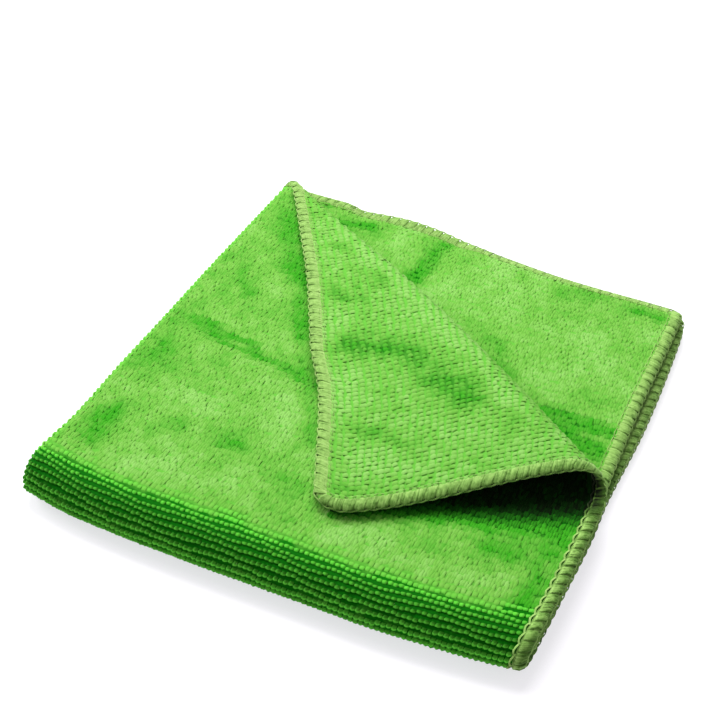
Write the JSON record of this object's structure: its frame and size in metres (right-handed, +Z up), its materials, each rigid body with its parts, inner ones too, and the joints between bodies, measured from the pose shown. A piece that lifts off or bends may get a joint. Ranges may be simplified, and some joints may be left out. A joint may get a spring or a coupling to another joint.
{
  "type": "folded microfibre cleaning cloth",
  "caption": "Square looped microfibre cleaning cloth with an overlocked edge, folded in quarters and lying flat, one corner of its top layer turned back.",
  "frame": {"origin": "centre of the underside of the folded stack, by its bounding box", "axes": "+Z up, +X along the front fold towards the open right side, +Y from the front fold towards the open back"},
  "size_m": [0.1544, 0.1582, 0.0199],
  "materials": {
    "cloth": "soft looped knit with a matt surface"
  },
  "bodies": {
    "root": {"cloth": "cloth"}
  },
  "joints": []
}
